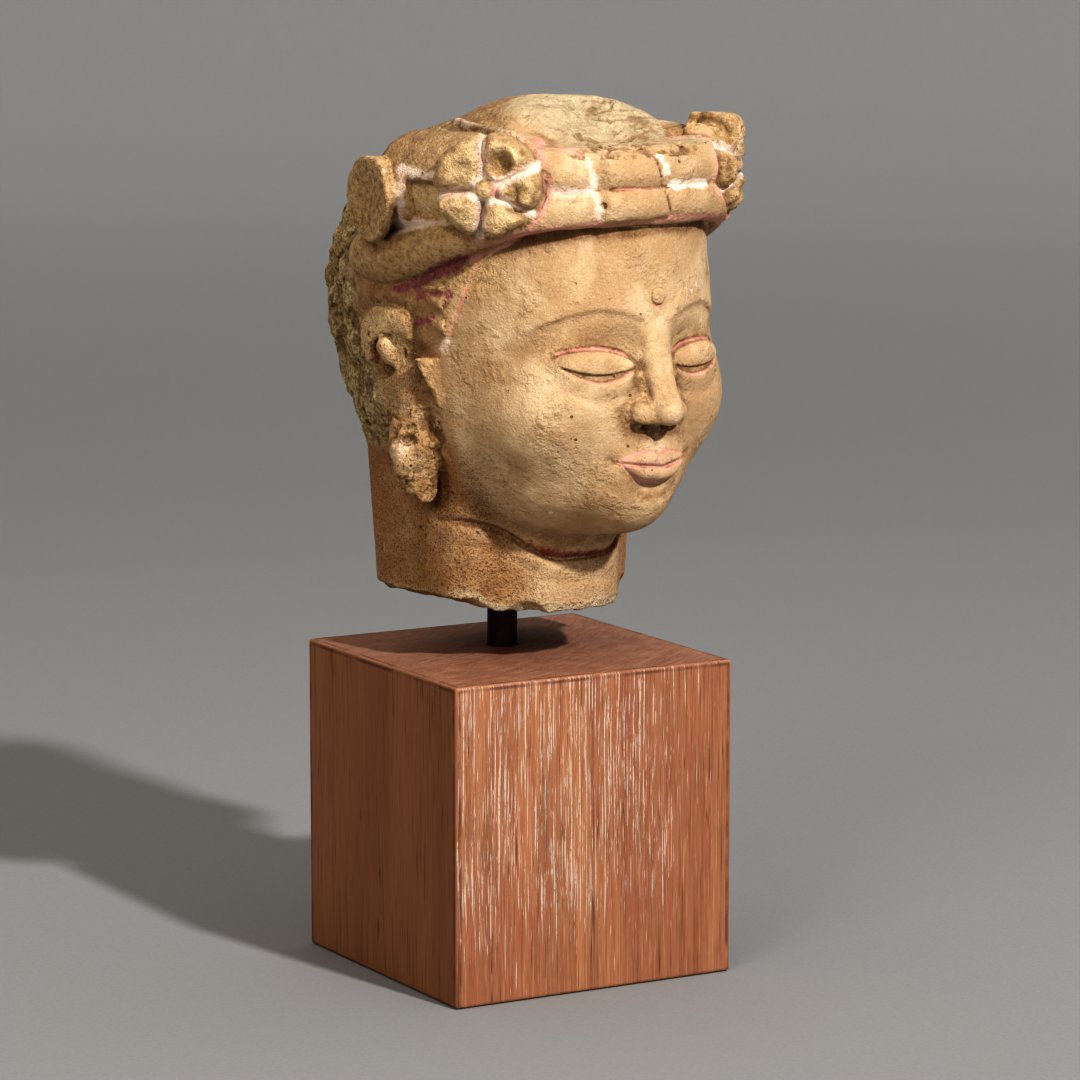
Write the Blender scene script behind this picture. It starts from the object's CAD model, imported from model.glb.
"""Bodhisattva head on its post and wooden plinth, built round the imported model."""
import math

import bpy
import numpy as np
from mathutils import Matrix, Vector
import math

import numpy as np


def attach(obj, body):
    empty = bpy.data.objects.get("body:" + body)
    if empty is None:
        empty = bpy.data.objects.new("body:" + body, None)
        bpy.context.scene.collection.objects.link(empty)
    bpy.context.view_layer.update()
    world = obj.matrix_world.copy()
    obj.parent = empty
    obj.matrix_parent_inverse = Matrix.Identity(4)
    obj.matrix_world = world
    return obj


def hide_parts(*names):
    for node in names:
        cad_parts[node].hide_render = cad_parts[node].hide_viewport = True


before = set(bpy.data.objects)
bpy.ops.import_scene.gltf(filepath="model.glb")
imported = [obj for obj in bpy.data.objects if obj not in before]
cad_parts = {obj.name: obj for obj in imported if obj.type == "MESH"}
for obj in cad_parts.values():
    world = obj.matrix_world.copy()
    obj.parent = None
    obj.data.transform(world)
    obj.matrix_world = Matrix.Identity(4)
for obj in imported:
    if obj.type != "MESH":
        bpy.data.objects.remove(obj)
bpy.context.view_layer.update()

HEAD_X, HEAD_Y, YAW = 2.6, -0.1, math.radians(10.3)
PLAN_F, PLAN_A, PLAN_B, PLAN_N = 4.0, 55.0, 57.5, 2.2
Z_HAIRLINE, Z_GROOVE, Z_BAND = 230.0, 241.4, 254.0
BLOCK_FROM = -20.0
LOBE_A, LOBE_B, LOBE_F, LOBE_Z, LOBE_TUBE = 39.5, 42.0, 3.0, 241.0, 15.8
# rosettes: place, height and facing; the left one sits higher and nearer the front
ROS = {-1: (44.0, 37.3, 243.0, 50.0), 1: (34.6, 44.7, 246.2, 41.0)}
ROS_GROOVES = (25.0, 95.0, 185.0, 260.0, 330.0)
BOSS_X, BOSS_F, BOSS_Z, BOSS_AZ = 48.0, -3.0, 237.0, 100.0
POST_X, POST_F, POST_R = -0.85, -9.9, 5.0
Z_BREAK = 113.9


def sstep(a, b, t):
    u = np.clip((t - a) / (b - a), 0, 1)
    return u * u * (3 - 2 * u)


def gau(t, w):
    return np.exp(-((t / w) ** 2))


def smin(a, b, k):
    h = np.maximum(k - np.abs(a - b), 0) / k
    return np.minimum(a, b) - h * h * k * 0.25


def smax(a, b, k):
    h = np.maximum(k - np.abs(a - b), 0) / k
    return np.maximum(a, b) + h * h * k * 0.25


def ell(x, f, z, c, r):
    a, b, d = (x - c[0]) / r[0], (f - c[1]) / r[1], (z - c[2]) / r[2]
    k0 = np.sqrt(a * a + b * b + d * d)
    k1 = np.sqrt((a / r[0]) ** 2 + (b / r[1]) ** 2 + (d / r[2]) ** 2)
    return np.where(k1 < 1e-6, -min(r), k0 * (k0 - 1) / np.maximum(k1, 1e-6))


def cone(x, f, z, p, q, rp, rq):
    e = (q[0] - p[0], q[1] - p[1], q[2] - p[2])
    n = e[0] ** 2 + e[1] ** 2 + e[2] ** 2
    t = np.clip(((x - p[0]) * e[0] + (f - p[1]) * e[1] + (z - p[2]) * e[2]) / n, 0, 1)
    return np.sqrt((x - p[0] - t * e[0]) ** 2 + (f - p[1] - t * e[1]) ** 2 + (z - p[2] - t * e[2]) ** 2) - (rp + t * (rq - rp))


def tube(x, f, z, pts, radii):
    d = cone(x, f, z, pts[0], pts[1], radii[0], radii[1])
    for i in range(1, len(pts) - 1):
        d = np.minimum(d, cone(x, f, z, pts[i], pts[i + 1], radii[i], radii[i + 1]))
    return d


def ring(x, f, a, b, n):
    g = ((np.abs(x) / a) ** n + (np.abs(f) / b) ** n) ** (1 / n)
    return (g - 1) * np.hypot(x, f) / np.maximum(g, 1e-4)


def lattice(i, j, k, seed):
    h = (i.astype(np.uint32) * np.uint32(374761393) + j.astype(np.uint32) * np.uint32(668265263)
         + k.astype(np.uint32) * np.uint32(2246822519) + np.uint32((seed * 3266489917) & 0xFFFFFFFF))
    h = (h ^ (h >> np.uint32(13))) * np.uint32(1274126177)
    h = h ^ (h >> np.uint32(16))
    return (h & np.uint32(0xFFFFFF)).astype(np.float32) / np.float32(8388607.5) - 1


def noise(x, f, z, scale, seed):
    """Smooth lattice noise, about -1 to 1, with features about scale mm across."""
    p = [np.asarray(v, np.float32) / scale + 100.0 for v in (x, f, z)]
    c = [np.floor(v).astype(np.int32) for v in p]
    w = [v - u for v, u in zip(p, c)]
    w = [v * v * v * (v * (v * 6 - 15) + 10) for v in w]
    out = 0
    for a in (0, 1):
        for b in (0, 1):
            for d in (0, 1):
                out = out + lattice(c[0] + a, c[1] + b, c[2] + d, seed) * (w[0] if a else 1 - w[0]) * (w[1] if b else 1 - w[1]) * (w[2] if d else 1 - w[2])
    return out


def fbm(x, f, z, scale, seed, octaves=3):
    total, amp = 0, 1.0
    for o in range(octaves):
        total = total + amp * noise(x, f, z, scale / 2 ** o, seed + 17 * o)
        amp *= 0.5
    return total


def azimuth(x, f):
    return np.degrees(np.arctan2(np.abs(x), f))


def plan(x, f, inset):
    return ring(x, f - PLAN_F, PLAN_A - inset, PLAN_B - inset, PLAN_N)


# ---- the face, to the usual canon: calm, eyes lowered, lips closed
def lid_line(e):
    return 187.3 + np.where(e < -1, 1.3 * ((e + 1) / 9.5) ** 2, 2.5 * ((e + 1) / 12.5) ** 2)


def lid_low(e):
    return lid_line(e) - 2.1 * np.maximum(0, 1 - ((e - 0.5) / 11.2) ** 2) ** 0.8


def lid_crease(e):
    return lid_line(e) + 7.4 * np.maximum(0, 1 - ((e - 0.8) / 12.8) ** 2) ** 0.62


def brow_line(s):
    return 200.9 + 5.4 * (1 - ((s - 19.5) / 17.5) ** 2) - 0.07 * np.maximum(0, s - 19.5)


def mouth_line(s):
    return 159.7 + 1.5 * (s / 13) ** 2 - 0.45 * gau(s, 2.4)


def lip_top(s):
    return mouth_line(s) + 4.9 * np.maximum(0, 1 - (s / 13.4) ** 1.8) * (1 - 0.22 * gau(s, 1.7))


def lip_low(s):
    return mouth_line(s) - 5.7 * np.maximum(0, 1 - (s / 11.8) ** 2) ** 0.8


def hair_front(z):
    """How far forward the hair of the temple comes at a height."""
    return np.interp(z, (195, 201, 206, 212, 219, 227), (21.5, 23.6, 25.9, 28.6, 31.2, 40.0))


def face_relief(x, f, z):
    s = np.abs(x)
    e = s - 18.5
    D = np.zeros_like(x)
    w = sstep(-12.4, -9.8, e) * (1 - sstep(10.8, 13.4, e))
    zl, zm, zc = lid_line(e), lid_low(e), lid_crease(e)
    D += 0.95 * sstep(-0.3, 0.4, z - zl) * (1 - sstep(-2.5, 0.6, z - zc)) * w
    D -= 0.75 * gau(z - zc, 0.8) * w
    D += 0.7 * (1 - sstep(-0.5, 0.3, z - zm)) * sstep(-6.0, -1.2, z - zm) * w
    D -= 0.35 * gau(z - (zm - 6.2), 1.5) * w * 0.8
    D -= 0.5 * gau(e + 11.6, 1.4) * gau(z - 188.2, 0.9)
    zb = brow_line(s)
    wb = sstep(2.5, 7.0, s) * (1 - sstep(31, 38, s))
    D += 0.85 * sstep(-1.4, 0.5, z - zb) * (1 - sstep(0.5, 7.5, z - zb)) * wb
    # lips
    zs, zu, zo = mouth_line(s), lip_top(s), lip_low(s)
    hu, hl = np.maximum(zu - zs, 0.2), np.maximum(zs - zo, 0.2)
    tu, tl = (z - zs) / hu, (zs - z) / hl
    au = 1.9 * np.maximum(0, 1 - (s / 13.4) ** 2) ** 0.6
    al = 2.3 * np.maximum(0, 1 - (s / 11.9) ** 2) ** 0.6
    up = np.sqrt(np.maximum(0, 1 - ((tu - 0.33) / 0.67) ** 2)) * au
    low = np.sqrt(np.maximum(0, 1 - ((tl - 0.42) / 0.58) ** 2)) * al
    D += np.maximum(up, low)
    D -= 0.95 * gau(z - zs, 0.5) * (1 - sstep(12.4, 14.4, s))
    D -= 0.8 * gau(np.hypot(s - 14.4, z - 161.4), 1.9)
    # philtrum, urna
    wp = sstep(164.6, 166.2, z) * (1 - sstep(167.6, 169.6, z))
    D += (0.3 * gau(s - 2.7, 1.1) - 0.5 * gau(s, 1.4)) * wp
    D += 0.9 * (1 - sstep(2.0, 2.8, np.hypot(s, z - 209.5)))
    return D * sstep(20, 30, f)


def face(x, f, z, d):
    s = np.abs(x)
    d = smin(d, smax(ell(x, f, z, (0, 4, 207), (48.5, 56.8, 74)), z - 244, 6), 4)
    d = smin(d, ell(x, f, z, (0, 12, 174), (42.5, 45, 37)), 14)
    d = smin(d, ell(x, f, z, (0, 30.0, 155), (25.5, 23.5, 15.5)), 12)
    d = smin(d, ell(x, f, z, (0, 46.5, 148.8), (11.0, 12.2, 9.8)), 9)
    d = smin(d, ell(s, f, z, (22.0, 37.5, 177), (17.5, 17, 17)), 10)
    d = smin(d, ell(x, f, z, (0, 44.4, 161), (17.5, 15.3, 13)), 9)
    d = smax(d, -ell(s, f, z, (19.2, 67, 193.6), (14.8, 11.9, 8.6)), 5)
    d = smin(d, ell(s, f, z, (18.5, 46.6, 190.0), (12.4, 10.8, 7.6)), 2.2)
    d = smin(d, cone(s, f, z, (1.0, 55.9, 204), (1.2, 64.0, 178.0), 3.1, 3.6), 4)
    nose = smin(ell(x, f, z, (0, 64.4, 175.9), (4.7, 5.9, 4.9)), ell(s, f, z, (5.9, 59.4, 175.0), (4.3, 6.2, 4.6)), 3.4)
    nose = smax(nose, 171.6 + 0.16 * (66 - f) - z, 1.6)
    d = smin(d, nose, 2.4)
    d = smax(d, -ell(s, f, z, (3.7, 62.0, 171.2), (1.9, 3.6, 1.5)), 0.8)
    d = smax(d, -ell(x, f, z, (0, 63.4, 153.2), (10, 4.6, 3.0)), 4)
    return d


# ---- ornaments
FACETS = ((62, 38, 7.6), (20, -18, 6.6), (95, 8, 6.5), (58, -30, 8.2), (128, -22, 7.4), (35, 22, 7.3), (80, -62, 13.0), (10, 30, 7.9))
LOCKS = ((((49.3, 13.6, 212.2), (48.4, 18.4, 213.6), (47.3, 23.0, 213.0), (45.6, 28.6, 215.0)), (0.7, 2.2, 2.4, 1.7)),
         (((49.3, 15.0, 209.2), (48.3, 19.8, 207.2), (47.2, 24.6, 206.6), (46.2, 27.6, 207.6)), (0.6, 1.8, 2.2, 1.5)),
         (((49.0, 16.0, 202.6), (48.2, 20.2, 200.9), (47.4, 23.6, 199.6), (47.2, 25.2, 197.5)), (0.6, 1.8, 2.1, 1.3)))
RIDGE = ((20.0, -11, 257.2), (23, -4, 258.3), (29.6, 9, 257.9), (32.6, 19, 257.4), (36.2, 28, 257.2), (38.6, 35.5, 257.4), (39.0, 41, 257.2), (37.9, 44.3, 255.9), (36.4, 46.8, 253.8),
         (34.9, 48.6, 250.6), (33.9, 50.0, 247), (33.4, 51.2, 243), (33.8, 51.4, 238.5), (35.6, 49.8, 233.8))


def local(x, f, z, side, cx, cf, cz, az):
    """Coordinates on an ornament that faces az degrees from the front: along it, up, and out."""
    a = math.radians(az)
    xs = x * side - cx
    fs = f - cf
    return xs * math.cos(a) - fs * math.sin(a), z - cz, xs * math.sin(a) + fs * math.cos(a)


def groove_gap(t, b):
    """Distance from a point of a rosette to its nearest groove."""
    gap = np.full_like(t, 99.0)
    for g in ROS_GROOVES:
        c, s = math.cos(math.radians(g)), math.sin(math.radians(g))
        along = t * c + b * s
        gap = np.minimum(gap, np.where(along > 0, np.abs(-t * s + b * c), np.hypot(t, b)))
    return gap


def on_rosette(x, f, z, side):
    """Coordinates on a rosette: towards the front, up, and out."""
    t, b, h = local(x, f, z, side, *ROS[side])
    return -t, b, h


def rosette(x, f, z, side):
    t, b, h = on_rosette(x, f, z, side)
    r, ang = np.hypot(t, b), np.arctan2(b, t)
    gap = groove_gap(t, b + 1.0)
    edge = 15.5 - 1.2 * gau(gap, 1.7) + 0.45 * np.sin(2.2 * ang + 1) + 0.1 * np.sin(ang)
    pillow = np.sin(np.minimum(gap / 4.6, 1) * 1.5708)
    top = 6.9 + 3.2 * pillow * sstep(0.5, 4.5, r) - 1.9 * (r / 16) ** 4 - 1.2 * gau(gap, 0.7) * sstep(2.5, 5, r)
    for a, far, deep, wide in ((60.0, 8.8, 3.4, 2.9), (357.5, 8.6, 2.3, 2.1), (140.0, 9.6, 0.6, 3), (295.0, 9.6, 0.5, 3)):
        q = np.hypot(t - far * math.cos(math.radians(a)), b + 1 - far * math.sin(math.radians(a)))
        top = top - deep * gau(q, wide) + 0.28 * deep * gau(q - wide - 1.9, 1.1) * (q < 99)
    top = top + 0.55 * noise(x, f, z, 4.4, 15) + 0.35 * noise(x, f, z, 2.2, 25)
    eye = np.sqrt((t / 1.1) ** 2 + (b + 1) ** 2 + ((h - 6.4) * 0.9) ** 2) - 3.3
    body = smax(smax((h - top) * 0.75, r - edge, 3.2), -h - 7, 3)
    return smin(body, eye, 0.7)


def boss(x, f, z, side):
    t, b, h = local(x, f, z, side, BOSS_X, BOSS_F, BOSS_Z, BOSS_AZ)
    r = np.hypot(t, b * 0.985)
    wob = 0.35 * np.sin(3 * np.arctan2(b, t) + 0.7) + 0.2 * np.sin(7 * np.arctan2(b, t))
    disc = smax(r - 12.5 - wob, np.abs(h - 7.2) - 1.9 + 0.5 * gau(r, 7), 1.3)
    stem = smax(r - 7.4 - 0.05 * (h - 2) ** 2 * (h < 2), h - 6.5, 0.5)
    stem = np.maximum(stem, -h - 14)
    return smin(disc, stem, 3.2)


def pendant(x, f, z, side):
    """The rough stump of a hanging ear ornament: a cap and a body knocked into facets."""
    s = x * side
    d = tube(s, f, z, ((46.6, 2.4, 176.0), (47.6, 4.6, 167), (46.8, 5.6, 158), (45.4, 7.2, 150.0)), (5.0, 6.9, 7.1, 4.4))
    d = smin(d, ell(s, f, z, (47.9, 6.2, 168.4), (7.0, 8.0, 7.0)), 1.2)
    for k, (a, e, reach) in enumerate(FACETS):
        a, e = math.radians(a + 9 * (side > 0) * (k % 3 - 1)), math.radians(e)
        n = (math.sin(a) * math.cos(e), math.cos(a) * math.cos(e), math.sin(e))
        d = smax(d, (s - 47) * n[0] + (f - 4.6) * n[1] + (z - 163) * n[2] - reach, 0.5)
    d = smax(d, -ell(s, f, z, (54.3, 10.5, 165.5), (4.5, 5.0, 3.4)), 0.7)
    return smax(d, -ell(s, f, z, (53.0, 1.0, 156.5), (4.4, 3.4, 3.0)), 0.7)


def ear(x, f, z, side, d):
    s = x * side
    d = smin(d, ell(s, f, z, (44.4, -4.0, 187), (6.8, 14.5, 21)), 5)
    d = smax(d, -ell(s, f, z, (54.4, -4.0, 190.8), (6.3, 6.6, 8.4)), 1.3)
    d = smax(d, -ell(s, f, z, (55.4, 8.4, 187.5), (6.0, 4.4, 13.5)), 3)
    rim = tube(s, f, z, ((48.6, 6.6, 197.0), (49.8, 4.4, 200.4), (50.6, -0.4, 201.2), (51.2, -6.0, 200.4),
                         (51.4, -10.4, 197.0), (51.0, -11.6, 192.8), (50.6, -10.4, 189.2), (49.8, -8.8, 186.2)), (2.6, 3.8, 4.3, 4.4, 3.9, 3.1, 2.3, 1.0))
    rim = smax(rim, s - 53.4 + 0.10 * (f + 4) ** 2 / 10, 1.6)
    d = smin(d, rim, 0.7)
    leaf = tube(s, f, z, ((50.2, -4.2, 195.6), (51.0, -2.4, 193.0), (50.8, -0.2, 190.2), (50.0, 1.8, 187.4)), (2.1, 3.3, 3.1, 1.5))
    d = smin(d, leaf, 0.5)
    d = smin(d, tube(s, f, z, ((45.0, 2.2, 184), (45.2, 3.4, 177), (45.6, 4.0, 172)), (4.0, 5.4, 5.6)), 3)
    # a narrow wedge before the ear, its face turned to the front
    left = 11.6 + (190.6 - z) * 0.34
    wedge = np.maximum(np.maximum(d - 0.42 * (18.0 - f), left - f), z - 190.6)
    d = np.where((z > 176) & (z < 194) & (f > 8) & (f < 21), smin(d, wedge * 0.85, 0.4), d)
    d = smax(d, -ell(s, f, z, (50.6, 4.9, 191.6), (2.6, 0.5, 1.5)), 0.4)
    # locks of hair on the temple
    for pts, rad in LOCKS:
        d = smin(d, tube(s, f, z, pts, rad), 1.3)
    return d


def block_to(z):
    """Left side of the band's middle block, which widens downwards."""
    return 2.6 - 0.33 * (z - 232.0)


def band_low(az):
    """Height of the band's lower edge."""
    return 232.2 - 0.0021 * np.minimum(az, 48) ** 2


def under_roll(az):
    return Z_HAIRLINE - 19.6 * sstep(26, 96, az)


def diadem(x, f, z, d):
    az, inside = azimuth(x, f), plan(x, f, 0)
    to = block_to(z)
    across = sstep(BLOCK_FROM - 0.9, BLOCK_FROM + 0.9, x) * (1 - sstep(to - 0.7, to + 0.7, x)) * (f > 0)
    seam = gau(x - BLOCK_FROM + 1.9, 1.7) * (x < BLOCK_FROM + 1) + 0.8 * gau(x - to - 1.0, 0.7)
    zl = band_low(az)
    mid = Z_GROOVE - 0.5 + 0.5 * (zl - 231.0)
    up, low = (z - 248.2) / 7.6, (z - 0.5 * (zl + mid)) / (0.5 * (mid - zl) + 0.6)
    rolls = np.maximum(np.maximum(0, 1 - up * up) ** 0.6 * 2.7, np.maximum(0, 1 - low * low) ** 0.6 * 2.7)
    swell = rolls - 1.0 - 1.8 * sstep(244, 253, z) + 1.4 * across - 0.7 * seam * (f > 0)
    band = smax(smax(inside - swell, zl - z, 1.6), z - Z_BAND + 0.0006 * x * x, 2.2)
    d = smin(d, smax(np.maximum(band, -(inside + 18)), 0.9 * (az - 48), 4), 1.0)
    # domed lobes beside the rosettes, hollowed into a framed panel before the strap of the side boss
    lobe = np.hypot(ring(x, f - LOBE_F, LOBE_A, LOBE_B, 2.2), z - LOBE_Z) - LOBE_TUBE
    lobe = lobe + 3.0 * sstep(0, 1, (z - 230.6) / 2.2) * (1 - sstep(0, 1, (z - 241.6) / 2.2)) * sstep(55, 58, az) * (1 - sstep(77.5, 79.5, az))
    lobe = lobe - 0.7 * gau(az - 82.5, 2.3) * sstep(224, 228, z) * (1 - sstep(245, 249, z))
    d = smin(d, smax(lobe, smax(30 - az, az - 99, 10) * 0.85, 9), 1.6)
    # raised border that runs above the rosette and down beside it
    m = np.nonzero((z > 230) & (x < -20) & (x > -46) & (f > -8) & (f < 58))[0]
    if len(m):
        d[m] = smin(d[m], tube(-x[m], f[m], z[m], RIDGE, (0.2, 0.8) + (1.3,) * (len(RIDGE) - 3) + (0.6,)), 0.7)
    m = np.nonzero((z > 226) & (x > 8) & (x < 46) & (f > 20))[0]
    if len(m):
        t, b, h = on_rosette(x[m], f[m], z[m], 1)
        d[m] -= 1.2 * gau(np.hypot(t, b) - 17.4, 1.1) * sstep(-6, 2, t) * sstep(-14, -8, h)
    # thick roll under the band, thin in front and full at the sides
    rr = 3.0 + 5.4 * sstep(30, 88, az)
    roll = np.hypot(plan(x, f, 8.2 - (8.4 - rr)), z - under_roll(az) - rr) - rr
    return smin(d, smax(roll, (az - 118) * 0.8, 6), 1.2)


def crest_edge(x, f):
    """Height of the hollow break in front of the crown."""
    low = 252.0 + 1.6 * (1 - sstep(-27, -20, x)) + 1.2 * sstep(12, 20, x)
    return low + 0.315 * (58 - f) - 3.8 * gau(f - 36, 12) * gau(x - 1, 19)


def head_field(x, f, z, fine=True):
    x, f, z = (np.asarray(v, np.float32) for v in (x, f, z))
    up = np.clip((z - 206) / 55, -0.99, 0.99)
    wide = np.sqrt(np.maximum(0.02, 1 - up * up))
    d = ring(x, f + 4, 50 * wide, 57 * wide, 2.6) * 0.8
    d = smax(d, np.abs(z - 206) - 55 * 0.97, 6)
    d = smin(d, ell(x, f, z, (0, -17, 186), (45.5, 40, 30)), 8)
    d = smin(d, ell(np.abs(x), f, z, (31.0, -17.0, 176), (16.6, 17.5, 19)), 3)
    hair = d.copy()
    d = smin(d, ell(x, f, z, (1.5, 13, 234), (45.5, 43, 32.8)), 6)
    m = np.nonzero((z > 130) & (z < 246) & (f > -40))[0]
    d[m] = face(x[m], f[m], z[m], d[m])
    # neck
    m = np.nonzero(z < 182)[0]
    if len(m):
        X, F_, Z_ = x[m], f[m], z[m]
        throat = np.maximum(np.hypot(X + 0.5, F_ - 3.5) - 26.2 - 0.02 * (131 - Z_), Z_ - 168)
        wide, deep = 38 + 0.03 * (Z_ - 116), 30.5 + 0.1 * (Z_ - 116)
        nape = np.where(X < 0, ring(X, F_ + 7, wide, deep, 3.6), np.where(F_ > -7, ring(X, F_ + 7, wide - 1, deep, 2.15), ring(X, F_ + 7, wide - 1, deep, 3.0)))
        nape = smax(nape, F_ - 14.5 - 0.10 * (Z_ - 116), 7)
        neck = smin(throat, np.maximum(nape, Z_ - 178), 6)
        az = azimuth(X, F_ - 2.5)
        fold = 128.5 + 12 * sstep(20, 76, az)
        neck = neck + 1.3 * gau(Z_ - fold, 1.3) * sstep(0, 14, F_) + 0.4 * gau(Z_ - fold + 7, 1.6) * sstep(0, 14, F_)
        d[m] = smin(d[m], neck, 6)
    m = np.nonzero((f > 24) & (z > 134) & (z < 216) & (np.abs(d) < 9))[0]
    d[m] -= face_relief(x[m], f[m], z[m])
    m = np.nonzero((z > 190) & (z < 236) & (np.abs(x) > 36) & (f > 2) & (f < 40))[0]
    if len(m):
        back_of = hair_front(z[m]) - f[m]
        d[m] -= 0.7 * sstep(-0.5, 0.7, back_of) * (1 - sstep(9, 16, back_of)) * sstep(194, 199, z[m])
    m = np.nonzero((z > 206) & (z < 262))[0]
    d[m] = diadem(x[m], f[m], z[m], d[m])
    m = np.nonzero((z > 232) & (z < 242) & (x < -17) & (x > -25) & (f > 54))[0]
    if len(m):
        d[m] = smax(d[m], 1.05 - np.sqrt((x[m] + 20.5) ** 2 + (f[m] - 60.2) ** 2 + (z[m] - 236.8) ** 2), 0.3)
    for side in (-1, 1):
        m = np.nonzero((x * side > 36) & (z > 140) & (z < 212) & (f > -24) & (f < 22))[0]
        if len(m):
            q = ear(x[m], f[m], z[m], side, d[m])
            d[m] = smin(q, pendant(x[m], f[m], z[m], side), 1.5)
        m = np.nonzero((x * side > 14) & (z > 220) & (f > 12))[0]
        if len(m):
            d[m] = smin(d[m], rosette(x[m], f[m], z[m], side), 1.0)
        m = np.nonzero((x * side > 34) & (z > 218) & (np.abs(f + 3) < 22))[0]
        if len(m):
            d[m] = smin(d[m], boss(x[m], f[m], z[m], side), 1.4)
    # the crest is lost: a hollow, stepped break
    m = np.nonzero((z > 250) & (f > -8))[0]
    if len(m):
        X, F_, Z_ = x[m], f[m], z[m]
        edge = crest_edge(X, F_)
        if fine:
            n = fbm(0.6 * X + 0.3 * F_, 1.1 * F_, Z_ * 0.4, 11.0, 5, 2)
            e = np.abs(noise(0.5 * X - 0.2 * F_, 1.2 * F_, Z_ * 0.4, 8.0, 12))
            q = n * 1.7
            stair = np.floor(q) + sstep(0.35, 0.65, q - np.floor(q))
            edge = edge + 0.9 * n + 1.0 * stair - 1.5 * np.maximum(0, 0.18 - e) / 0.18
            edge = edge + 0.38 * noise(X, F_, Z_, 1.5, 19) + 0.75 * fbm(0.6 * X, 1.2 * F_, Z_, 4.2, 88, 3)
            edge = edge - 2.6 * gau(X - 2, 4.2) * gau(F_ - 31, 3.2) - 1.2 * gau(X - 8, 2.4) * gau(F_ - 33, 2.4)
        opened = smax(np.abs(X - 1) - 31, 4 - F_, 6)
        d[m] = smax(d[m], smin((Z_ - edge) * 0.9, -opened, 2), 1.2)
    m = np.nonzero(z > 258)[0]
    if len(m):
        d[m] = smax(d[m], z[m] - 266.3 + 0.5 * np.sin(0.16 * x[m]) * np.cos(0.13 * f[m]), 3)
    # roughness of hair, pendants and breaks
    if fine:
        rough = rough_mask(x, f, z)
        m = np.nonzero((rough > 0.02) & (np.abs(d) < 5))[0]
        if len(m):
            X, F_, Z_ = x[m], f[m], z[m]
            lumps = np.abs(noise(X, F_, 0.8 * Z_, 13.0, 31) + 0.35 * noise(X, F_, Z_, 6.0, 8))
            hang = hang_mask(X, F_, Z_)
            n = (1.3 - 3.2 * np.minimum(lumps, 0.6)) * (1 - hang) + 0.75 * fbm(X, F_, Z_, 4.2, 45, 3) + 0.35 * noise(X, F_, Z_, 1.5, 77)
            steps = fbm(X, F_, Z_, 6.0, 64, 2)
            n = n * (1 - 0.62 * hang) + hang * (1.25 * np.round(steps * 2.4) / 2.4 + 0.4 * steps)
            pits = np.maximum(0, noise(X, F_, Z_, 2.0, 55) - 0.42) * 2.4 * (1 - 0.85 * hang)
            d[m] += rough[m] * (n * 0.8 + pits)
        hand = 1 + 1.6 * sstep(222, 230, z) + 0.8 * (1 - sstep(128, 138, z))
        d += hand * (0.09 * noise(x, f, z, 7.0, 3) + 0.06 * noise(x, f, z, 3.0, 9))
    # broken neck and the socket for the post
    m = np.nonzero(z < 128)[0]
    if len(m):
        X, F_, Z_ = x[m], f[m], z[m]
        low = Z_BREAK + 4.4 * (1 - sstep(-33, -24, X)) + 0.02 * X - 1.0 * sstep(10, 28, F_)
        if fine:
            n = fbm(X, F_, Z_ * 0.4, 7.0, 21, 3)
            amp = 0.35 + 0.65 * sstep(2, 14, F_)
            low = low + amp * (0.5 * n + 0.3 * np.round(1.8 * n) + 0.22 * noise(X, F_, Z_, 1.9, 41))
        cut = low - Z_
        chips = smin(ell(X, F_, Z_, (31, 18, 106.5), (9, 19, 12)), ell(X, F_, Z_, (-24, 25, 111.0), (11, 7, 6)), 1)
        chips = smin(chips, ell(X, F_, Z_, (14, 33, 110.5), (12, 5, 4.5)), 1)
        d[m] = smax(smax(d[m], cut, 1.0), -chips, 0.8)
        d[m] = np.maximum(d[m], -np.maximum(np.hypot(X - POST_X, F_ - POST_F) - POST_R, Z_ - 150.3))
    m = np.nonzero((z >= 128) & (z < 156))[0]
    if len(m):
        X, F_, Z_ = x[m], f[m], z[m]
        d[m] = np.maximum(d[m], -np.maximum(np.hypot(X - POST_X, F_ - POST_F) - POST_R, Z_ - 150.3))
    return d


def rough_mask(x, f, z):
    """1 on the unfinished hair behind the ears and bosses and on the stumps of the earrings."""
    az = azimuth(x, f)
    from_az = 118 - 0.62 * np.clip(214 - z, 0, 44)
    behind = az - from_az
    m = np.nonzero((f < -2) & (z > 150) & (behind > -30))[0]
    if len(m):
        X, F_, Z_ = x[m], f[m], z[m]
        # over the crown the hair ends along a curve, not in a point
        arc = 1.3 * (-29 - F_ + 0.004 * X * X + 70 * (1 - sstep(226, 246, Z_)))
        behind[m] = smin(behind[m], arc, 14) + 3.0 * noise(X, F_, Z_, 10.0, 61)
    back = sstep(-5, 4, behind) * sstep(157, 165, z)
    return np.clip(np.maximum(back, hang_mask(x, f, z) * 0.85), 0, 1)


def hang_mask(x, f, z):
    """1 on the stumps of the earrings."""
    return sstep(42, 44.5, np.abs(x)) * sstep(143, 147, z) * (1 - sstep(174, 177, z)) * sstep(-6, -2, f) * (1 - sstep(14, 17, f))


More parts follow.
